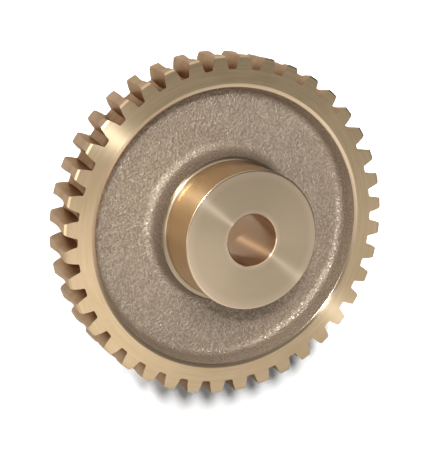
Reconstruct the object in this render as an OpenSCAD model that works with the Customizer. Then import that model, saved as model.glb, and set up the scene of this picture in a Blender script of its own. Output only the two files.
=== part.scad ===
// Worm gear: a bronze casting with a plain web and a hub on one side,
// turned on its faces, hub and bore, and hobbed to run with a worm.
// It lies on its back face. The axis is +Z, the hub points up,
// and the origin is on the axis at the back face.

/* [Teeth] */
// Number of teeth
teeth = 40; // [30:1:60]
// Pitch diameter for each tooth
tooth_module = 2.54; // [2.2:0.01:3]
// Pressure angle of the worm's thread, in degrees
pressure_angle = 14.5; // [14.5:0.5:20]
// Clearance between the worm's thread and the roots of the teeth
root_clearance = 0.4; // [0.2:0.05:0.8]
// Play between the worm's thread and the teeth, at the pitch line
backlash = 0.15; // [0:0.05:0.4]
// Extra room that the rolling of the worm opens on each flank
roll_relief = 0.09; // [0:0.01:0.2]

/* [Worm] */
// Pitch diameter of the worm that the gear runs with
worm_pitch_d = 31.75; // [28:0.25:45]
// Starts on the worm's thread
worm_starts = 1; // [1:1:3]
// Hand of the thread
hand = "right"; // [right, left]

/* [Rim] */
// Width of the rim across the teeth
face_width = 15.875; // [13:0.125:19]
// Height of the rim's outside above the bottom of the throat
tip_rise = 0.41; // [0.2:0.01:0.8]
// Bevel on the outer corners of the teeth
tip_bevel = 0.6; // [0.3:0.05:1.2]
// Metal between the deepest part of the roots and the inside of the rim
rim_wall = 2.7; // [2.2:0.1:4]
// Width of the bevel on the inner corners of the rim
rim_bevel = 1.15; // [0.6:0.05:1.5]
// Slope of that bevel, in degrees
rim_bevel_slope = 17; // [10:1:45]

/* [Web] */
// Depth of the recess on the hub side
front_recess = 7; // [5.5:0.25:8.5]
// Depth of the recess on the back
back_recess = 2.9; // [2.2:0.1:4]
// Draft of the cast walls, in degrees
draft = 10; // [3:0.5:12]
// Cast fillet between the web and the rim, on the hub side
rim_fillet = 2.75; // [1:0.25:3.5]
// Cast fillet between the web and the hub's boss, on the hub side
boss_fillet = 2.75; // [1:0.25:3.5]
// Cast fillets of the recess on the back
back_fillet = 1.25; // [0.5:0.25:1.5]

/* [Hub] */
// Diameter of the turned hub
hub_d = 43; // [36:0.5:50]
// Length of the hub beyond the rim's face
hub_length = 15.875; // [10:0.125:22]
// Radius that the turning leaves at the foot of the hub
foot_radius = 1.15; // [0.5:0.05:2]
// Cast metal left standing around the foot of the hub
boss_cast = 0.25; // [0.1:0.05:1.5]
// Bevel on the hub's outer edge
hub_bevel = 0.3; // [0.1:0.05:0.8]

/* [Bore] */
// Diameter of the bore
bore_d = 15.875; // [12:0.125:20]
// Bevel on both ends of the bore
bore_bevel = 0.3; // [0.1:0.05:0.8]

/* [Hidden] */
$fn = 120;
bronze = [0.72, 0.60, 0.43];

// Gear and worm in mesh: the worm's axis lies across the middle of the rim
axial_pitch = PI * tooth_module;
addendum = tooth_module;
pitch_r = teeth * tooth_module / 2;
worm_pitch_r = worm_pitch_d / 2;
centre_distance = pitch_r + worm_pitch_r;
lead_angle = atan(worm_starts * tooth_module / worm_pitch_d);
hand_sign = hand == "right" ? 1 : -1;
mid_plane = face_width / 2;

// The cutting thread reaches past the worm's own thread by the clearance
hob_r = worm_pitch_r + addendum + root_clearance;
root_r = centre_distance - hob_r;
throat_r = centre_distance - pitch_r - addendum;
outside_r = pitch_r + addendum + tip_rise;

// Rolling leans each flank to the mean of its pressure angles at pitch line and throat
throat_angle = acos(pitch_r * cos(pressure_angle) / (pitch_r + addendum));
flank_angle = (pressure_angle + throat_angle) / 2;
// The cutting thread's arc about the worm's axis, which spans the rim
thread_sweep = 120;
thread_inner_r = worm_pitch_r / 3;

// Turned and cast radii and levels, from the axis and the back face
recess_r = root_r - rim_wall;
wall_r = recess_r - rim_bevel;
rim_bevel_depth = rim_bevel * tan(rim_bevel_slope);
hub_r = hub_d / 2;
bore_r = bore_d / 2;
boss_r = hub_r + foot_radius + boss_cast;
overall_height = face_width + hub_length;
front_floor = face_width - front_recess;
front_rim_r = wall_r - (front_recess - rim_bevel_depth) * tan(draft);
front_boss_r = boss_r + front_recess * tan(draft);
back_rim_r = wall_r - (back_recess - rim_bevel_depth) * tan(draft);
back_boss_r = boss_r + back_recess * tan(draft);

function unit(angle) = [cos(angle), sin(angle)];

// Half the thickness of the cutting thread at a distance from the worm's axis
function thread_half(distance) =
    axial_pitch / 4 * cos(lead_angle) + backlash / 4 + roll_relief
    + (worm_pitch_r - distance) * tan(flank_angle);

// The patch between two edges that leave an inside corner and the arc that touches both
module corner_arc(corner, from, to, radius) {
    half = (to - from) / 2;
    reach = radius / tan(half);
    centre = corner + unit(from + half) * radius / sin(half);
    difference() {
        polygon([corner, corner + reach * unit(from), centre, corner + reach * unit(to)]);
        translate(centre) circle(radius);
    }
}

// Half section of the turned blank, with every corner still sharp on the cast faces
module blank_outline() {
    polygon([
        [bore_r + bore_bevel, 0],
        [boss_r, 0],
        [back_boss_r, back_recess],
        [back_rim_r, back_recess],
        [wall_r, rim_bevel_depth],
        [recess_r, 0],
        [outside_r - tip_bevel, 0],
        [outside_r, tip_bevel],
        [outside_r, face_width - tip_bevel],
        [outside_r - tip_bevel, face_width],
        [recess_r, face_width],
        [wall_r, face_width - rim_bevel_depth],
        [front_rim_r, front_floor],
        [front_boss_r, front_floor],
        [boss_r, face_width],
        [hub_r, face_width],
        [hub_r, overall_height - hub_bevel],
        [hub_r - hub_bevel, overall_height],
        [bore_r + bore_bevel, overall_height],
        [bore_r, overall_height - bore_bevel],
        [bore_r, bore_bevel]
    ]);
}

// Half section with the throat, the cast fillets and the tool's radius at the hub
module blank_section() {
    difference() {
        blank_outline();
        translate([centre_distance, mid_plane]) circle(throat_r);
    }
    corner_arc([hub_r, face_width], 0, 90, foot_radius);
    corner_arc([front_boss_r, front_floor], 0, 90 + draft, boss_fillet);
    corner_arc([front_rim_r, front_floor], 90 - draft, 180, rim_fillet);
    corner_arc([back_rim_r, back_recess], 180, 270 + draft, back_fillet);
    corner_arc([back_boss_r, back_recess], 270 - draft, 360, back_fillet);
}

// Section of the cutting thread: distance from the worm's axis, then place along it
module thread_section() {
    polygon([
        [thread_inner_r, -thread_half(thread_inner_r)],
        [hob_r, -thread_half(hob_r)],
        [hob_r, thread_half(hob_r)],
        [thread_inner_r, thread_half(thread_inner_r)]
    ]);
}

// One tooth gap: the cutting thread turned about the worm's axis, which leans by the
// lead angle, so the gap is as hollow across the rim as the worm is round
module tooth_gap() {
    translate([centre_distance, 0, mid_plane])
        rotate([90 - hand_sign * lead_angle, 0, 0])
            rotate_extrude(angle = thread_sweep, start = 180 - thread_sweep / 2)
                thread_section();
}

module worm_gear() {
    color(bronze)
        difference() {
            rotate_extrude() blank_section();
            for (tooth = [0 : teeth - 1])
                rotate(tooth * 360 / teeth) tooth_gap();
        }
}

worm_gear();
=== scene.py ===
"""Worm gear: a bronze wheel with hobbed teeth, a web left as cast, and a rim, hub and bore turned bright.

The gear is one closed surface on a grid. Its columns go round the axis. Its rows go round the half section:
from the back of the teeth up over the tips, in over the hub side, down the bore and out over the back.
Lengths of the gear are in millimetres until they are put into the mesh.
"""

from __future__ import annotations

import logging
import math
from collections.abc import Mapping, Sequence
from dataclasses import dataclass, field
from enum import Enum, IntEnum

import bpy
import numpy as np
from mathutils import Matrix, Vector


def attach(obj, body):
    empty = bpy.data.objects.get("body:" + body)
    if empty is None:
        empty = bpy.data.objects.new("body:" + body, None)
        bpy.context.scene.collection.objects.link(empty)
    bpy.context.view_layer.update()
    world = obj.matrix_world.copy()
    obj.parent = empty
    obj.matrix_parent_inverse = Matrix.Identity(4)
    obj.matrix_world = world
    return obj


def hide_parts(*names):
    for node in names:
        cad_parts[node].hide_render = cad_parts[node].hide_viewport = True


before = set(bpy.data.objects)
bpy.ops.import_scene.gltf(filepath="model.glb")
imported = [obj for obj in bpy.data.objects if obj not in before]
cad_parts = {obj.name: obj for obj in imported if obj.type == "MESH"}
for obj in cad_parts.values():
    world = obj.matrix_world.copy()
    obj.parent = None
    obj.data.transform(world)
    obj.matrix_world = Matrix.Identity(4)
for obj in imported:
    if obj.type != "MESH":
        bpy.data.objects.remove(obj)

LOG = logging.getLogger("worm_gear")
MM = 0.001
WHITE = (1.0, 1.0, 1.0, 1.0)


class Skin(IntEnum):
    """The finishes of the gear, in the order of its material slots."""

    TURNED = 0
    HOBBED = 1
    CAST = 2


# Shapes


@dataclass(frozen=True)
class Worm:
    """The worm that the gear runs with, and what it fixes of the teeth."""

    teeth: int = 40
    module: float = 2.54
    pressure_deg: float = 14.5
    pitch_d: float = 31.75
    starts: int = 1
    clearance: float = 0.4
    backlash: float = 0.15
    roll_steps: int = 161

    @property
    def pitch_r(self) -> float:
        """Pitch radius of the gear."""
        return self.teeth * self.module / 2

    @property
    def tooth_angle(self) -> float:
        """Angle from one tooth to the next, in radians."""
        return 2 * math.pi / self.teeth

    @property
    def centre_distance(self) -> float:
        """Distance from the gear's axis to the worm's."""
        return self.pitch_r + self.pitch_d / 2

    @property
    def hob_r(self) -> float:
        """How far the cutting thread reaches from the worm's axis."""
        return self.pitch_d / 2 + self.module + self.clearance

    @property
    def throat_r(self) -> float:
        """Radius of the hollow that the tips make round the worm."""
        return self.pitch_d / 2 - self.module

    @property
    def lead_slope(self) -> float:
        """Slant of the teeth: sideways travel for each millimetre along the axis."""
        return self.starts * self.module / self.pitch_d

    def root_radius(self, offset: np.ndarray) -> np.ndarray:
        """Root radius at a distance from the mid-plane: the centre distance less the thread's reach there."""
        return self.centre_distance - np.sqrt(self.hob_r**2 - offset**2)

    def thread_half(self, distance: np.ndarray) -> np.ndarray:
        """Half the thread's thickness at a distance from the worm's axis: a straight-sided rack form."""
        middle = math.pi * self.module / 4 * math.cos(math.atan(self.lead_slope)) + self.backlash / 4
        return middle + (self.pitch_d / 2 - distance) * math.tan(math.radians(self.pressure_deg))

    def gap_half_angle(self, radius: np.ndarray, offset: np.ndarray) -> np.ndarray:
        """Half angle of a gap, where the rolling thread cuts widest.

        A point at angle a is on the thread's flank when the thread has moved by r sin(a) - w, with w its half
        thickness there. The gear has then turned by that travel over the pitch radius, so the point lies at
        a - (r sin(a) - w) / pitch radius on the gear. The gap is the largest such angle for every a at which
        the thread still reaches the radius.

        Args:
            radius: Distances from the gear's axis.
            offset: Distances from the mid-plane, of the same shape.

        Returns:
            Half angles in radians, of the same shape.
        """
        reach = np.arccos(np.clip(self.root_radius(offset) / radius, -1, 1))
        angle = reach[..., None] * np.linspace(-1, 1, self.roll_steps)
        r = radius[..., None]
        distance = np.hypot(self.centre_distance - r * np.cos(angle), offset[..., None])
        turned = angle - (r * np.sin(angle) - self.thread_half(distance)) / self.pitch_r
        return turned.max(axis=-1)


@dataclass(frozen=True)
class Corner:
    """A corner of the half section, and the straight that follows it."""

    radius: float
    height: float
    skin: Skin = Skin.TURNED
    rows: int = 1
    rounding: float = 0.0
    arc_rows: int = 6

    @property
    def place(self) -> np.ndarray:
        """The corner as a point of the section."""
        return np.array([self.radius, self.height])


@dataclass(frozen=True)
class Section:
    """Rows of the half section: points of radius and height, and the skin between each and the next."""

    points: np.ndarray
    skins: np.ndarray

    @classmethod
    def along(cls, corners: Sequence[Corner]) -> Section:
        """Walks a line with rounded corners.

        A rounding of radius q in a corner of half angle h leaves the straights q / tan(h) before the corner.
        Its arc turns one end's radius into the other's: sin((1-s)w) a + sin(sw) b, over sin(w), for s from
        0 to 1.

        Args:
            corners: The corners in order; the first and the last are sharp.

        Returns:
            The rows, with a skin for every row but the last.
        """
        runs: list[tuple[np.ndarray, Skin]] = []
        start = corners[0].place
        for before, corner, after in zip(corners, corners[1:], [*corners[2:], corners[-1]]):
            end, arc = corner.place, None
            if corner.rounding:
                back = before.place - end
                ahead = after.place - end
                back, ahead = back / np.linalg.norm(back), ahead / np.linalg.norm(ahead)
                half = math.acos(float(back @ ahead)) / 2
                reach = corner.rounding / math.tan(half)
                middle = (back + ahead) / np.linalg.norm(back + ahead)
                centre = end + middle * corner.rounding / math.sin(half)
                first, last = end + reach * back - centre, end + reach * ahead - centre
                sweep = math.pi - 2 * half
                share = np.linspace(0, 1, corner.arc_rows + 1)[:, None]
                turned = np.sin((1 - share) * sweep) * first + np.sin(share * sweep) * last
                arc = centre + turned / math.sin(sweep)
                end = arc[0]
            runs.append((np.linspace(start, end, before.rows + 1)[:-1], before.skin))
            if arc is not None:
                runs.append((arc[:-1], before.skin))
            start = corner.place if arc is None else arc[-1]
        points = np.vstack([run for run, _ in runs] + [start[None]])
        skins = np.concatenate([np.full(len(run), int(skin)) for run, skin in runs])
        return cls(points, skins)


@dataclass(frozen=True)
class Grain:
    """Sand grain of a casting: lattice noise of a few sizes, in millimetres."""

    cells: tuple[float, ...] = (2.4, 5.0)
    heights: tuple[float, ...] = (0.05, 0.05)
    seed: int = 11
    lattice_size: int = 61

    def lattice(self, points: np.ndarray, cell: float, seed: int) -> np.ndarray:
        """Values from -1 to 1 at the corners of a cubic lattice, eased by 3t^2 - 2t^3 between them.

        Args:
            points: Points in the last axis of the array.
            cell: Edge of the lattice's cubes.
            seed: Which set of values to take.

        Returns:
            One value for each point.
        """
        size = self.lattice_size
        table = np.random.default_rng(seed).uniform(-1, 1, (size, size, size))
        base = np.floor(points / cell).astype(int)
        share = points / cell - base
        ease = share * share * (3 - 2 * share)
        total = np.zeros(points.shape[:-1])
        for corner in np.ndindex(2, 2, 2):
            weight = np.where(corner, ease, 1 - ease).prod(axis=-1)
            index = (base + corner) % size
            total += weight * table[index[..., 0], index[..., 1], index[..., 2]]
        return total

    def height(self, points: np.ndarray) -> np.ndarray:
        """How far the skin stands off its true surface: the sum of the sizes of grain."""
        layers = enumerate(zip(self.cells, self.heights))
        return sum(rise * self.lattice(points, cell, self.seed + i) for i, (cell, rise) in layers)


@dataclass
class GearBody:
    """The whole gear: rim with teeth, recessed web, hub and bore."""

    worm: Worm = field(default_factory=Worm)
    grain: Grain = field(default_factory=Grain)
    face_width: float = 15.875
    tip_rise: float = 0.41
    tip_bevel: float = 0.6
    rim_wall: float = 2.7
    rim_bevel: float = 1.15
    rim_bevel_deg: float = 17.0
    edge_round: float = 0.3
    front_recess: float = 7.0
    back_recess: float = 2.9
    draft_deg: float = 10.0
    rim_fillet: float = 2.75
    boss_fillet: float = 2.75
    back_fillet: float = 1.25
    hub_d: float = 43.0
    hub_length: float = 15.875
    foot_radius: float = 1.15
    boss_cast: float = 0.25
    hub_round: float = 0.4
    edge_strip: float = 0.3
    bore_d: float = 15.875
    bore_bevel: float = 0.3
    root_round: float = 0.3
    land_parts: int = 3
    flank_rows: int = 4
    width_rows: int = 19
    edge_rows: int = 4
    wall_rows: int = 7
    fillet_rows: int = 9
    web_rows: int = 34
    foot_rows: int = 7
    side_rows: int = 2
    hub_rows: int = 4
    back_rows: int = 14
    back_edge_rows: int = 3
    root_margin: float = 0.5
    face_spread: tuple[float, ...] = (0.0, 0.35, 0.7, 0.97)
    sharp_deg: float = 32.0

    @property
    def outside_r(self) -> float:
        """Radius over the tips."""
        return self.worm.pitch_r + self.worm.module + self.tip_rise

    @property
    def recess_r(self) -> float:
        """Inner radius of the rim's faces."""
        return float(self.worm.root_radius(np.zeros(1))[0]) - self.rim_wall

    def tip_radius(self, height: np.ndarray) -> np.ndarray:
        """Tip radius at a height: the least of the outside, the throat round the worm and the two bevels.

        Args:
            height: Heights above the back face.

        Returns:
            Radii of the same shape.
        """
        offset = height - self.face_width / 2
        throat = self.worm.centre_distance - np.sqrt(self.worm.throat_r**2 - offset**2)
        bevel = self.outside_r - self.tip_bevel + np.minimum(height, self.face_width - height)
        return np.minimum(np.minimum(throat, bevel), self.outside_r)

    def tooth_rows(self) -> tuple[np.ndarray, np.ndarray, np.ndarray]:
        """Outlines of all the teeth, one row for each height across the rim.

        Each tooth is drawn from the middle of one gap to the next: half the floor, a rounded root corner, a
        flank, the land on the tip, and the same again in mirror image. The slant turns each point by its
        offset times the lead slope over its radius.

        Returns:
            Radius, angle and height of every point, as rows by columns.
        """
        inner = np.linspace(self.tip_bevel, self.face_width - self.tip_bevel, self.width_rows)
        height = np.concatenate([[0.0], inner, [self.face_width]])[:, None]
        offset = height - self.face_width / 2
        root, tip = self.worm.root_radius(offset), self.tip_radius(height)
        share = np.linspace(0, 1, self.flank_rows + 1)[None, :]
        flank = (root + self.root_round) * (1 - share) + tip * share
        flank_angle = self.worm.gap_half_angle(flank, np.broadcast_to(offset, flank.shape))
        floor_angle = self.worm.gap_half_angle(root, offset) - self.root_round / root
        radius = np.hstack([root, root, flank])
        angle = np.hstack([np.zeros_like(root), floor_angle, flank_angle])
        land = self.worm.tooth_angle - 2 * flank_angle[:, -1:]
        inner_parts = range(1, self.land_parts)
        radius = np.hstack([radius, *[tip for _ in inner_parts], radius[:, :0:-1]])
        on_land = [flank_angle[:, -1:] + land * part / self.land_parts for part in inner_parts]
        angle = np.hstack([angle, *on_land, self.worm.tooth_angle - angle[:, :0:-1]])
        angle = angle + np.arcsin(offset * self.worm.lead_slope / radius)
        turns = np.repeat(np.arange(self.worm.teeth) * self.worm.tooth_angle, radius.shape[1])
        radius, angle = np.tile(radius, self.worm.teeth), np.tile(angle, self.worm.teeth) + turns
        return radius, angle, np.broadcast_to(height, radius.shape)

    def inner_section(self) -> Section:
        """The half section: in over the hub side, down through the bore and out over the back.

        Returns:
            The rows, which start and end where the faces of the rim meet its inner bevels.
        """
        lean = math.tan(math.radians(self.draft_deg))
        face, top = self.face_width, self.face_width + self.hub_length
        hub_r, bore_r = self.hub_d / 2, self.bore_d / 2
        boss_r = hub_r + self.foot_radius + self.boss_cast
        wall_r = self.recess_r - self.rim_bevel
        front, back = self.front_recess, self.back_recess
        bevel_depth = self.rim_bevel * math.tan(math.radians(self.rim_bevel_deg))
        front_rim_r = wall_r - (front - bevel_depth) * lean
        back_rim_r = wall_r - (back - bevel_depth) * lean
        front_boss_r, back_boss_r = boss_r + front * lean, boss_r + back * lean
        edge = self.hub_round + self.edge_strip
        cast = Skin.CAST
        return Section.along([
            Corner(self.recess_r, face),
            Corner(wall_r, face - bevel_depth, cast, self.wall_rows, self.edge_round, self.edge_rows),
            Corner(front_rim_r, face - front, cast, self.web_rows, self.rim_fillet, self.fillet_rows),
            Corner(front_boss_r, face - front, cast, self.wall_rows, self.boss_fillet, self.fillet_rows),
            Corner(boss_r, face),
            Corner(hub_r, face, rounding=self.foot_radius, arc_rows=self.foot_rows),
            Corner(hub_r, face + self.foot_radius + self.edge_strip, rows=self.side_rows),
            Corner(hub_r, top - edge),
            Corner(hub_r, top, rounding=self.hub_round, arc_rows=self.edge_rows),
            Corner(hub_r - edge, top, rows=self.hub_rows),
            Corner(bore_r + self.bore_bevel, top),
            Corner(bore_r, top - self.bore_bevel, rows=self.hub_rows),
            Corner(bore_r, self.bore_bevel),
            Corner(bore_r + self.bore_bevel, 0, rows=self.back_edge_rows),
            Corner(boss_r, 0, cast, self.back_edge_rows),
            Corner(back_boss_r, back, cast, self.back_rows, self.back_fillet, self.edge_rows),
            Corner(back_rim_r, back, cast, self.back_edge_rows, self.back_fillet, self.edge_rows),
            Corner(wall_r, bevel_depth),
            Corner(self.recess_r, 0),
        ])

    def rough(self, section: Section, angle: np.ndarray) -> tuple[np.ndarray, np.ndarray]:
        """Puts the sand grain on the cast rows of the section.

        A cast row moves along the section's normal, which is its direction turned a quarter to the right.
        A row that turned metal shares stays where it is.

        Args:
            section: The rows.
            angle: Angles of the columns.

        Returns:
            Radius and height of every point, as rows by columns.
        """
        cast = (section.skins == Skin.CAST).astype(float)
        weight = np.append(cast, 0) * np.append(0, cast)
        along = np.gradient(section.points, axis=0)
        normal = np.stack([along[:, 1], -along[:, 0]], axis=1)
        normal /= np.linalg.norm(normal, axis=1)[:, None]
        radius, height = section.points[:, :1], section.points[:, 1:]
        round_x, round_y = radius * np.cos(angle), radius * np.sin(angle)
        places = np.stack([round_x, round_y, np.broadcast_to(height, round_x.shape)], axis=-1)
        lift = self.grain.height(places) * weight[:, None]
        return radius + normal[:, :1] * lift, height + normal[:, 1:] * lift

    def grid(self) -> tuple[np.ndarray, np.ndarray]:
        """All the points of the gear.

        On the faces of the rim the columns run straight in from the outline of the teeth and spread out
        evenly before they reach the recess.

        Returns:
            Points as rows by columns by three, and the skin of each strip between a row and the next.
        """
        radius, angle, height = self.tooth_rows()
        columns = radius.shape[1]
        even = np.linspace(0, 2 * math.pi, columns, endpoint=False)
        below_roots = float(radius[0].min()) - self.root_margin
        spread = np.array(self.face_spread)[:, None]
        face_r = below_roots * (1 - spread) + self.recess_r * spread + np.zeros(columns)
        front_angle = angle[-1] * (1 - spread) + even * spread
        back_angle = angle[0] * (1 - spread[::-1]) + even * spread[::-1]
        section = self.inner_section()
        body_r, body_z = self.rough(section, even)
        body_angle = np.broadcast_to(even, body_r.shape)
        full_face = np.full_like(face_r, self.face_width)
        radius = np.vstack([radius, face_r, body_r, face_r[::-1]])
        angle = np.vstack([angle, front_angle, body_angle, back_angle])
        height = np.vstack([height, full_face, body_z, np.zeros_like(face_r)])
        points = np.stack([radius * np.cos(angle), radius * np.sin(angle), height], axis=-1)
        rim_face = np.full(len(face_r), int(Skin.TURNED))
        hobbed = np.full(self.width_rows + 1, int(Skin.HOBBED))
        skins = np.concatenate([hobbed, rim_face[:1], rim_face, section.skins, rim_face[:1], rim_face])
        return points, skins

    def strip_skins(self, skins: np.ndarray, columns: int) -> np.ndarray:
        """Skin of every face: that of its strip, but turned on the bevels of the tips.

        Args:
            skins: The skin of each strip.
            columns: Number of columns round the gear.

        Returns:
            Skins as strips by columns.
        """
        faces = np.repeat(skins[:, None], columns, axis=1)
        per_tooth = columns // self.worm.teeth
        floor_points = 2
        first = floor_points + self.flank_rows
        place = np.arange(columns) % per_tooth
        on_land = (place >= first) & (place < first + self.land_parts)
        faces[np.ix_([0, self.width_rows], on_land)] = Skin.TURNED
        return faces

    def build(self) -> bpy.types.Object:
        """Makes the mesh: every row and every column joins the next, and the last joins the first.

        Returns:
            The gear.
        """
        points, skins = self.grid()
        rows, columns = points.shape[:2]
        index = np.arange(rows * columns).reshape(rows, columns)
        ahead = np.roll(index, -1, axis=1)
        quads = np.stack([index, ahead, np.roll(ahead, -1, axis=0), np.roll(index, -1, axis=0)], axis=-1)
        mesh = bpy.data.meshes.new("gear_body")
        mesh.from_pydata((points.reshape(-1, 3) * MM).tolist(), [], quads.reshape(-1, 4).tolist())
        faces = self.strip_skins(skins, columns)
        mesh.polygons.foreach_set("material_index", faces.ravel().astype(np.int32))
        mesh.polygons.foreach_set("use_smooth", np.ones(faces.size, dtype=bool))
        mesh.set_sharp_from_angle(angle=math.radians(self.sharp_deg))
        mesh.update()
        return place_piece("gear_body", mesh)


def place_piece(name: str, mesh: bpy.types.Mesh) -> bpy.types.Object:
    """Puts a mesh into the scene at the origin.

    Args:
        name: Name of the piece.
        mesh: Its mesh, in metres, already in place.

    Returns:
        The new object.
    """
    piece = bpy.data.objects.new(name, mesh)
    bpy.context.scene.collection.objects.link(piece)
    return piece


# Shading


class Reading:
    """A number read off a surface. Arithmetic on readings adds Math nodes to their board."""

    def __init__(self, board: Board, socket: bpy.types.NodeSocket) -> None:
        """Wraps a socket that gives a number."""
        self.board = board
        self.socket = socket

    def _math(self, operation: str, left: Number, right: Number) -> Reading:
        """Adds one Math node and returns its result."""
        node = self.board.node("ShaderNodeMath", {"operation": operation}, {0: left, 1: right})
        return Reading(self.board, node.outputs[0])

    def __add__(self, other: Number) -> Reading:
        """This plus another."""
        return self._math("ADD", self, other)

    def __radd__(self, other: Number) -> Reading:
        """Another plus this."""
        return self._math("ADD", other, self)

    def __sub__(self, other: Number) -> Reading:
        """This less another."""
        return self._math("SUBTRACT", self, other)

    def __rsub__(self, other: Number) -> Reading:
        """Another less this."""
        return self._math("SUBTRACT", other, self)

    def __mul__(self, other: Number) -> Reading:
        """This times another."""
        return self._math("MULTIPLY", self, other)

    def __rmul__(self, other: Number) -> Reading:
        """Another times this."""
        return self._math("MULTIPLY", other, self)

    def __truediv__(self, other: Number) -> Reading:
        """This over another."""
        return self._math("DIVIDE", self, other)

    def __rtruediv__(self, other: Number) -> Reading:
        """Another over this."""
        return self._math("DIVIDE", other, self)

    def __pow__(self, other: Number) -> Reading:
        """This to a power."""
        return self._math("POWER", self, other)

    def step(self, low: float, high: float) -> Reading:
        """Rises smoothly from 0 to 1.

        Args:
            low: The number up to which it is 0.
            high: The number from which it is 1.

        Returns:
            The share.
        """
        settings = {"interpolation_type": "SMOOTHSTEP"}
        inputs = {"Value": self, "From Min": low, "From Max": high}
        node = self.board.node("ShaderNodeMapRange", settings, inputs)
        return Reading(self.board, node.outputs["Result"])


Number = Reading | float
Colour = tuple[float, float, float]


class Board:
    """The node tree of one material or of the world."""

    def __init__(self, tree: bpy.types.NodeTree) -> None:
        """Clears the tree."""
        self.tree = tree
        tree.nodes.clear()

    def node(
        self, kind: str, settings: Mapping[str, object], inputs: Mapping[int | str, object]
    ) -> bpy.types.Node:
        """Adds a node.

        Args:
            kind: Blender's name of the node's type.
            settings: Its own settings, set first; "stops" gives a ramp's positions and colours.
            inputs: Values, readings or sockets for its inputs, by name or number.

        Returns:
            The node.
        """
        node = self.tree.nodes.new(kind)
        for name, value in settings.items():
            if name == "stops":
                self._ramp(node.color_ramp, value)
            else:
                setattr(node, name, value)
        for name, value in inputs.items():
            source = value.socket if isinstance(value, Reading) else value
            if isinstance(source, bpy.types.NodeSocket):
                self.tree.links.new(source, node.inputs[name])
            else:
                node.inputs[name].default_value = source
        return node

    @staticmethod
    def _ramp(ramp: bpy.types.ColorRamp, stops: Sequence[tuple[float, Colour]]) -> None:
        """Sets a colour ramp's stops.

        Args:
            ramp: The ramp.
            stops: Positions and colours, in order.
        """
        while len(ramp.elements) < len(stops):
            ramp.elements.new(1.0)
        for element, (position, colour) in zip(ramp.elements, stops):
            element.position = position
            element.color = (*colour, 1.0)

    def number(self, node: bpy.types.Node, output: int | str = 0) -> Reading:
        """An output of a node as a reading."""
        return Reading(self, node.outputs[output])

    def place(self) -> tuple[bpy.types.NodeSocket, Reading, Reading]:
        """Where a point of the gear is.

        Returns:
            Its object coordinates, its distance from the axis and its height, the last two in millimetres.
        """
        spot = self.node("ShaderNodeTexCoord", {}, {}).outputs["Object"]
        split = self.node("ShaderNodeSeparateXYZ", {}, {0: spot})
        x, y, z = (self.number(split, axis) for axis in "XYZ")
        return spot, (x * x + y * y) ** 0.5 * (1 / MM), z * (1 / MM)

    def noise(self, where: object, scale: float, detail: float = 2.0, rough: float = 0.5) -> Reading:
        """Smooth noise from about 0 to 1.

        Args:
            where: Coordinates for noise in space, or a reading for noise along a line.
            scale: Grains for each unit of length.
            detail: Number of finer layers.
            rough: Strength of the finer layers.

        Returns:
            The noise.
        """
        line = isinstance(where, Reading)
        inputs = {"W" if line else "Vector": where, "Scale": scale, "Detail": detail, "Roughness": rough}
        settings = {"noise_dimensions": "1D" if line else "3D"}
        return self.number(self.node("ShaderNodeTexNoise", settings, inputs))

    def blend(self, share: Reading, first: object, second: object) -> bpy.types.NodeSocket:
        """Mixes two colours: the first where the share is 0, the second where it is 1."""
        pair = {6: as_colour(first), 7: as_colour(second), 0: share}
        return self.node("ShaderNodeMix", {"data_type": "RGBA"}, pair).outputs[2]

    def ramp(self, share: Reading, stops: Sequence[tuple[float, Colour]]) -> bpy.types.NodeSocket:
        """Colours along a scale from 0 to 1."""
        return self.node("ShaderNodeValToRGB", {"stops": stops}, {0: share}).outputs[0]

    def streaks(self, count: float, pitch: float) -> Reading:
        """Noise drawn out into arcs round the axis, as a lathe tool leaves them.

        Args:
            count: How many streaks follow each other in one radian.
            pitch: Distance from one streak to the next, in millimetres.

        Returns:
            The noise.
        """
        spot, radius, height = self.place()
        split = self.node("ShaderNodeSeparateXYZ", {}, {0: spot})
        x, y = (self.number(split, axis) / radius * (count / MM) for axis in "XY")
        where = self.node("ShaderNodeCombineXYZ", {}, {0: x, 1: y, 2: (radius + height) / pitch})
        return self.noise(where.outputs[0], 1.0, detail=3.0, rough=0.65)

    def bump(self, height: Reading, strength: float, depth: float) -> bpy.types.NodeSocket:
        """Normals of a surface that a height from 0 to 1 lifts by a depth in millimetres."""
        inputs = {"Height": height, "Strength": strength, "Distance": depth * MM}
        return self.node("ShaderNodeBump", {}, inputs).outputs[0]

    def principled(self, inputs: Mapping[str, object]) -> bpy.types.NodeSocket:
        """Adds a principled shader."""
        return self.node("ShaderNodeBsdfPrincipled", {}, inputs).outputs[0]

    def end(self, shader: bpy.types.NodeSocket) -> None:
        """Ends a material with a shader."""
        self.node("ShaderNodeOutputMaterial", {}, {"Surface": shader})


def as_colour(value: object) -> object:
    """A tuple of three as an opaque colour; sockets stay as they are."""
    return (*value, 1.0) if isinstance(value, tuple) else value


def new_material(name: str) -> tuple[bpy.types.Material, Board]:
    """A material and its empty board.

    Args:
        name: Name of the material.

    Returns:
        The material, and the board of its nodes.
    """
    material = bpy.data.materials.new(name)
    material.use_nodes = True
    return material, Board(material.node_tree)


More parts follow.
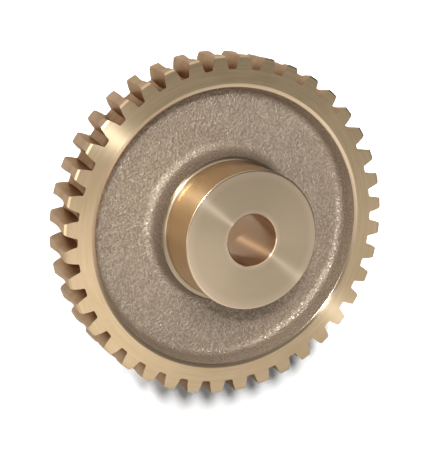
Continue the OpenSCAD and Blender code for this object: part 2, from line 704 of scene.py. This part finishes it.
@dataclass(frozen=True)
class TurnedBronze:
    """Bronze fresh from the lathe: part of its gloss is drawn out into rays by the tool's rings."""

    deep: Colour = (0.57, 0.40, 0.21)
    light: Colour = (0.80, 0.605, 0.375)
    warm: Colour = (0.66, 0.42, 0.25)
    hub_face: Colour = (0.56, 0.44, 0.295)
    blush: Colour = (0.72, 0.545, 0.39)
    # Painted shade: the bore gets a darker, redder tone than the other turned faces
    bore_painted_shade: Colour = (0.46, 0.275, 0.145)
    hub_side: Colour = (0.53, 0.345, 0.17)
    foot: Colour = (0.46, 0.37, 0.26)
    glint: Colour = (0.92, 0.87, 0.77)
    glint_share: float = 0.15
    roughness: float = 0.23
    streak_gloss: float = 0.08
    rim_ray: float = 0.30
    hub_ray: float = 0.24
    side_ray: float = 0.42
    rim_share: float = 0.36
    hub_share: float = 0.28
    side_share: float = 0.36
    ray_turn: float = 0.25
    ring_count: float = 4.0
    ring_depth: float = 0.003
    ring_strength: float = 0.4
    streak_form: tuple[float, float] = (1.4, 0.4)
    scuff_form: tuple[float, float] = (4.5, 0.6)
    stain_scale: float = 60.0
    stain_band: tuple[float, float] = (0.52, 0.7)
    stain_share: float = 0.4
    wear_parts: tuple[float, float, float] = (1.0, 1.1, 1.2)
    wear_start: float = 1.15
    blush_share: float = 0.6
    hub_cover: float = 0.85
    foot_cover: float = 0.9
    bore_edge: tuple[float, float] = (7.95, 8.1)
    side_edge: tuple[float, float] = (21.2, 21.4)
    end_edge: tuple[float, float] = (31.6, 31.7)
    foot_edge: tuple[float, float] = (16.7, 17.0)
    rim_edge: tuple[float, float] = (30.0, 31.0)
    # Radii of the rim's inner bevel, which gets a painted highlight colour
    bevel_radii: tuple[float, float] = (44.9, 45.2)
    hub_band: tuple[float, float] = (18.0, 21.0)
    bore_band: tuple[float, float] = (8.6, 9.6)

    def material(self) -> bpy.types.Material:
        """Builds the finish.

        The rings follow radius plus height, so they circle the faces and the cylinders alike. The hub is
        turned finer than the rim. Its end is greyer, with a lighter band at its edge and round the bore,
        where the tool ran in and out. The rays on the flat faces are paler than the plain gloss.

        Returns:
            The material.
        """
        material, board = new_material("turned_bronze")
        spot, radius, height = board.place()
        rings = board.noise(radius + height, self.ring_count, detail=3.0, rough=0.7)
        streaks = board.streaks(*self.streak_form)
        scuffs = board.streaks(*self.scuff_form)
        stain = board.noise(spot, self.stain_scale, detail=3.0)
        on_rim = radius.step(*self.rim_edge)
        on_end = height.step(*self.end_edge)
        on_side = radius.step(*self.side_edge) * (1 - on_rim) * (1 - on_end)
        on_foot = on_side * (1 - height.step(*self.foot_edge))
        in_bore = 1 - radius.step(*self.bore_edge)
        by_streak, by_scuff, by_stain = self.wear_parts
        wear = streaks * by_streak + scuffs * by_scuff + stain * by_stain - self.wear_start
        tone = board.blend(wear, self.deep, self.light)
        tone = board.blend(stain.step(*self.stain_band) * self.stain_share, tone, self.warm)
        # Painted highlight colour: the rim's inner bevel is paled towards the blush tone
        bevel_painted_highlight = on_rim * (1 - radius.step(*self.bevel_radii))
        tone = board.blend(bevel_painted_highlight * self.blush_share, tone, self.blush)
        tone = board.blend(on_end * self.hub_cover, tone, self.hub_face)
        tone = board.blend(on_side * self.hub_cover, tone, self.hub_side)
        tone = board.blend(on_foot * self.foot_cover, tone, self.foot)
        # Painted shade inside the bore
        tone = board.blend(in_bore, tone, self.bore_painted_shade)
        band = radius.step(*self.hub_band) + 1 - radius.step(*self.bore_band)
        tone = board.blend(band * on_end * self.blush_share, tone, self.blush)
        round_faces = on_side + in_bore
        common = {"Metallic": 1.0, "Normal": board.bump(rings, self.ring_strength, self.ring_depth)}
        plain = board.principled({
            **common,
            "Base Color": tone,
            "Roughness": self.roughness + (streaks - 0.5) * self.streak_gloss,
        })
        ray = self.hub_ray + on_rim * (self.rim_ray - self.hub_ray)
        drawn = board.principled({
            **common,
            "Base Color": board.blend((1 - round_faces) * self.glint_share, tone, self.glint),
            "Roughness": ray + round_faces * (self.side_ray - self.hub_ray),
            "Anisotropic": 1.0,
            "Anisotropic Rotation": self.ray_turn,
        })
        share = self.hub_share + on_rim * (self.rim_share - self.hub_share)
        share = share + round_faces * (self.side_share - self.hub_share)
        board.end(board.node("ShaderNodeMixShader", {}, {0: share, 1: plain, 2: drawn}).outputs[0])
        return material


@dataclass(frozen=True)
class HobbedBronze:
    """Bronze as the hob leaves it: redder, with fine cuts across the flanks."""

    deep: Colour = (0.26, 0.155, 0.085)
    light: Colour = (0.53, 0.38, 0.245)
    warm: Colour = (0.47, 0.27, 0.165)
    edge: Colour = (0.68, 0.53, 0.38)
    grazing: Colour = (0.82, 0.67, 0.55)
    roughness: float = 0.4
    stain_gloss: float = 0.3
    cut_count: float = 2.2
    cut_slant: float = 0.3
    cut_depth: float = 0.01
    cut_strength: float = 0.5
    stain_scale: float = 160.0
    blotch_scale: float = 260.0
    blotch_band: tuple[float, float] = (0.45, 0.65)
    blotch_share: float = 0.5
    # Painted shade towards the roots, and a painted highlight on the tips
    root_shade_radii: tuple[float, float] = (48.5, 53.0)
    root_shade_part: float = 0.6
    stain_part: float = 1.8
    wear_start: float = 0.7
    tips: tuple[float, float] = (53.0, 53.8)
    tip_highlight_share: float = 0.5

    def material(self) -> bpy.types.Material:
        """Builds the finish.

        The cuts follow the height. The tone is darkened towards the roots by painted shade and paled on the
        tips by a painted highlight.

        Returns:
            The material.
        """
        material, board = new_material("hobbed_bronze")
        spot, radius, height = board.place()
        cuts = board.noise(height + radius * self.cut_slant, self.cut_count, rough=0.6)
        stain = board.noise(spot, self.stain_scale, detail=3.0)
        blotch = board.noise(spot, self.blotch_scale)
        # Painted shade: the tone darkens from the tips down into the roots; the stain noise on top is real
        # stain
        wear = radius.step(*self.root_shade_radii) * self.root_shade_part + stain * self.stain_part - self.wear_start
        tone = board.blend(wear, self.deep, self.light)
        tone = board.blend(blotch.step(*self.blotch_band) * self.blotch_share, tone, self.warm)
        board.end(board.principled({
            # Painted highlight: the tips are paled towards the edge colour
            "Base Color": board.blend(radius.step(*self.tips) * self.tip_highlight_share, tone, self.edge),
            "Specular Tint": as_colour(self.grazing),
            "Metallic": 1.0,
            "Roughness": self.roughness + (stain - 0.5) * self.stain_gloss,
            "Normal": board.bump(cuts, self.cut_strength, self.cut_depth),
        }))
        return material


@dataclass(frozen=True)
class CastSkin:
    """Bronze as it came out of the sand: dull and brown, with bright grains and glossier fillets."""

    dark: Colour = (0.205, 0.155, 0.115)
    middle: Colour = (0.36, 0.28, 0.21)
    bright: Colour = (0.54, 0.455, 0.35)
    tone_stops: tuple[float, float, float] = (0.25, 0.5, 0.75)
    grain_size: float = 0.78
    grain_depth: float = 0.52
    fine_count: float = 2.2
    fine_part: float = 0.4
    patch_scale: float = 110.0
    shade_parts: tuple[float, float, float] = (0.5, 0.38, 0.12)
    metal: float = 0.72
    roughness: float = 0.69
    glint: float = 0.34
    glint_band: tuple[float, float] = (0.4, 0.65)
    wall_heights: tuple[float, float] = (9.6, 15.0)
    boss_radii: tuple[float, float] = (26.0, 32.0)
    # Painted shade on the boss wall by the hub's foot, and painted light on the rim's wall
    boss_painted_shade: float = 0.2
    rim_wall_painted_light: float = 0.06
    fillet_foot: tuple[float, float] = (9.0, 9.5)
    fillet_top: tuple[float, float] = (10.4, 11.4)
    fillet_gloss: float = 0.1

    def material(self) -> bpy.types.Material:
        """Builds the finish from grain of two sizes.

        Higher grains are brighter and glossier. The boss wall is darkened by painted shade, and the wall of
        the rim is lighter with painted light.

        Returns:
            The material.
        """
        material, board = new_material("cast_bronze")
        spot, radius, height = board.place()
        grains = 1 / (self.grain_size * MM)
        grain = board.noise(spot, grains, detail=1.0)
        fine = board.noise(spot, grains * self.fine_count, rough=0.6)
        patch = board.noise(spot, self.patch_scale)
        relief = grain * (1 - self.fine_part) + fine * self.fine_part
        wall = height.step(*self.wall_heights)
        by_rim = radius.step(*self.boss_radii)
        # Painted shade darkens the boss wall next to the hub's foot; painted light lightens the rim's wall
        wall_painted_shade_and_light = wall * (1 - by_rim) * self.boss_painted_shade - wall * by_rim * self.rim_wall_painted_light
        by_grain, by_fine, by_patch = self.shade_parts
        shade = grain * by_grain + fine * by_fine + patch * by_patch - wall_painted_shade_and_light
        stops = list(zip(self.tone_stops, (self.dark, self.middle, self.bright)))
        on_fillet = height.step(*self.fillet_foot) * (1 - height.step(*self.fillet_top))
        gloss = on_fillet * self.fillet_gloss + relief.step(*self.glint_band) * self.glint
        board.end(board.principled({
            "Base Color": board.ramp(shade, stops),
            "Metallic": self.metal,
            "Roughness": self.roughness - gloss,
            "Normal": board.bump(relief, 1.0, self.grain_depth),
        }))
        return material


# Stage


@dataclass(frozen=True)
class Viewpoint:
    """The camera, placed about the gear's axis; lengths in metres."""

    place: tuple[float, float, float] = (-0.16407, 0.09218, 0.37299)
    aim: tuple[float, float, float] = (-0.00528, -0.00075, 0.015875)
    tooth_turn_deg: float = 1.31
    lens_mm: float = 100.645
    sensor_mm: float = 36.0
    clip_start: float = 0.01

    def build(self) -> bpy.types.Object:
        """Adds the camera. The gear's Y axis, turned a little with the teeth, points up in the picture.

        Returns:
            The camera.
        """
        data = bpy.data.cameras.new("camera")
        data.lens = self.lens_mm
        data.sensor_width = self.sensor_mm
        data.clip_start = self.clip_start
        camera = bpy.data.objects.new("camera", data)
        turn = math.radians(self.tooth_turn_deg)
        back = (Vector(self.place) - Vector(self.aim)).normalized()
        right = Vector((-math.sin(turn), math.cos(turn), 0)).cross(back).normalized()
        up = back.cross(right)
        axes = Matrix((right, up, back)).transposed().to_4x4()
        camera.matrix_world = Matrix.Translation(Vector(self.place)) @ axes
        bpy.context.scene.collection.objects.link(camera)
        bpy.context.scene.camera = camera
        return camera


class Lights(Enum):
    """What a lamp lights."""

    ALL = "all"
    GLOSS = "gloss"
    MATT = "matt"


@dataclass(frozen=True)
class SoftLamp:
    """A square studio lamp that faces the gear; lengths in metres."""

    name: str
    place: tuple[float, float, float]
    size: float
    watts: float
    lights: Lights = Lights.ALL
    tint: Colour = (1.0, 1.0, 1.0)
    aim: tuple[float, float, float] = (0.0, 0.0, 0.015)

    def build(self) -> bpy.types.Object:
        """Adds the lamp.

        Returns:
            The lamp.
        """
        data = bpy.data.lights.new(self.name, "AREA")
        data.size = self.size
        data.energy = self.watts
        data.color = self.tint
        lamp = bpy.data.objects.new(self.name, data)
        lamp.location = self.place
        lamp.visible_glossy = self.lights is not Lights.MATT
        lamp.visible_diffuse = self.lights is not Lights.GLOSS
        towards = Vector(self.aim) - Vector(self.place)
        lamp.rotation_euler = towards.to_track_quat("-Z", "Y").to_euler()
        bpy.context.scene.collection.objects.link(lamp)
        return lamp


@dataclass(frozen=True)
class Studio:
    """A white sheet under the gear, and plain soft light; lengths in metres, bright_floor in millimetres."""

    lamps: tuple[SoftLamp, ...] = (
        SoftLamp("key_lamp", (-0.52, 0.54, 1.12), 0.054, 7.5, Lights.GLOSS),
        SoftLamp("spark_lamp", (-0.52, 0.54, 1.13), 0.054, 13.0, Lights.GLOSS, (0.84, 0.94, 1.0)),
        SoftLamp("top_lamp", (-0.30, 0.68, 1.16), 0.34, 26.0, Lights.MATT),
        SoftLamp("left_box", (-1.10, 0.20, 0.54), 1.00, 4.5),
        SoftLamp("low_card", (0.10, -0.17, 0.47), 0.12, 0.04, Lights.GLOSS),
    )
    floor_half: float = 3.0
    floor_drop: float = 0.05 * MM
    room: float = 0.12
    table: float = 0.72
    window: float = 1.0
    table_turn_deg: float = 85.0
    window_turn_deg: float = 110.0
    far_edge: tuple[float, float] = (-0.15, -0.07)
    near_edge: tuple[float, float] = (-0.7, -0.3)
    window_edge: tuple[float, float] = (0.42, 0.72)
    ambient: float = 0.15
    floor_tone: float = 0.74
    floor_shine: float = 0.8
    # Painted shadow and painted shade in the sheet as metal sees it
    shadow_shine: float = 0.3
    bright_floor: tuple[float, float] = (62.0, 82.0)
    side_glow: float = 0.9
    shadow_place: tuple[float, float, float] = (0.010, -0.054, 0.0)
    shadow_reach: tuple[float, float] = (0.022, 0.046)
    dim_floor: tuple[float, float] = (0.05, 0.065)
    dim_share: float = 0.85

    def build(self) -> None:
        """Adds the lamps, the world and the floor."""
        for lamp in self.lamps:
            lamp.build()
        self.world()
        self.floor()

    @staticmethod
    def mirror_rays(board: Board, path: bpy.types.Node) -> Reading:
        """1 for a ray that comes off metal or through glass."""
        return board.number(path, "Is Glossy Ray") + board.number(path, "Is Transmission Ray")

    def world(self) -> None:
        """Even light, white for the camera.

        Metal shows a table towards the foot of the picture, brighter close by, a dim room above it and a
        window past the gear's top. Each starts at an edge across its own direction.
        """
        world = bpy.data.worlds.new("studio")
        world.use_nodes = True
        bpy.context.scene.world = world
        board = Board(world.node_tree)
        direction = board.node("ShaderNodeTexCoord", {}, {}).outputs[0]
        split = board.node("ShaderNodeSeparateXYZ", {}, {0: direction})
        x, y = (board.number(split, axis) for axis in "XY")
        turns = (math.radians(turn) for turn in (self.table_turn_deg, self.window_turn_deg))
        ahead, outside = (x * math.cos(turn) + y * math.sin(turn) for turn in turns)
        far_table = (1 - ahead.step(*self.far_edge)) * (self.table - self.room)
        near_table = (1 - ahead.step(*self.near_edge)) * (1 - self.table)
        window = outside.step(*self.window_edge) * (self.window - self.room)
        room = self.room + far_table + near_table + window
        path = board.node("ShaderNodeLightPath", {}, {})
        white = board.number(path, "Is Camera Ray")
        shiny = self.mirror_rays(board, path)
        strength = self.ambient + shiny * (room - self.ambient) + white * (1 - self.ambient)
        light = board.node("ShaderNodeBackground", {}, {"Color": WHITE, "Strength": strength})
        board.node("ShaderNodeOutputWorld", {}, {"Surface": light.outputs[0]})

    def floor(self) -> None:
        """A white sheet that keeps the gear's shadow at the foot of the picture.

        Away from that place the sheet is full white to the camera. Metal sees it bright, with a painted
        shadow at the shadow's place and painted shade on the far side from the lamps.
        """
        half, level = self.floor_half, -self.floor_drop
        corners = [(-half, -half, level), (half, -half, level), (half, half, level), (-half, half, level)]
        mesh = bpy.data.meshes.new("floor")
        mesh.from_pydata(corners, [], [(0, 1, 2, 3)])
        floor = place_piece("floor", mesh)
        material, board = new_material("white_sheet")
        path = board.node("ShaderNodeLightPath", {}, {})
        spot, radius, _ = board.place()
        ends = {0: spot, 1: self.shadow_place}
        away = board.node("ShaderNodeVectorMath", {"operation": "DISTANCE"}, ends)
        clear = board.number(away, "Value").step(*self.shadow_reach)
        bright = radius.step(*self.bright_floor) + clear * self.side_glow
        seen = board.number(path, "Is Camera Ray") * bright
        # Painted shade in what metal sees of the sheet: a painted shadow at the shadow's place and a dim band
        # on the +X side
        painted_dim_side = board.number(board.node("ShaderNodeSeparateXYZ", {}, {0: spot}), "X").step(*self.dim_floor)
        mirrored_with_painted_shade = self.shadow_shine + clear * (1 - self.shadow_shine)
        mirrored_with_painted_shade = mirrored_with_painted_shade * (1 - painted_dim_side * self.dim_share) * self.floor_shine
        tone = (self.floor_tone, self.floor_tone, self.floor_tone)
        sheet = board.node("ShaderNodeBsdfDiffuse", {}, {"Color": as_colour(tone)})
        glow = board.node("ShaderNodeEmission", {}, {"Color": seen, "Strength": 1.0})
        lit = board.node("ShaderNodeAddShader", {}, {0: sheet.outputs[0], 1: glow.outputs[0]})
        shine = board.node("ShaderNodeEmission", {}, {"Color": mirrored_with_painted_shade, "Strength": 1.0})
        shares = {0: self.mirror_rays(board, path), 1: lit.outputs[0], 2: shine.outputs[0]}
        board.end(board.node("ShaderNodeMixShader", {}, shares).outputs[0])
        mesh.materials.append(material)


def dress(piece: bpy.types.Object) -> None:
    """Gives the gear its finishes, in the order of its skins."""
    for finish in (TurnedBronze(), HobbedBronze(), CastSkin()):
        piece.data.materials.append(finish.material())


def main() -> None:
    """Builds the stage, the camera and the gear."""
    logging.basicConfig(level=logging.INFO, format="%(name)s: %(message)s")
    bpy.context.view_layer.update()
    bpy.context.scene.view_settings.view_transform = "Standard"
    Studio().build()
    Viewpoint().build()
    gear = GearBody().build()
    dress(gear)
    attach(gear, "root")
    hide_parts("worm_gear")
    LOG.info("%s: %d faces", gear.name, len(gear.data.polygons))
    bpy.context.view_layer.update()


if __name__ == "__main__":
    main()
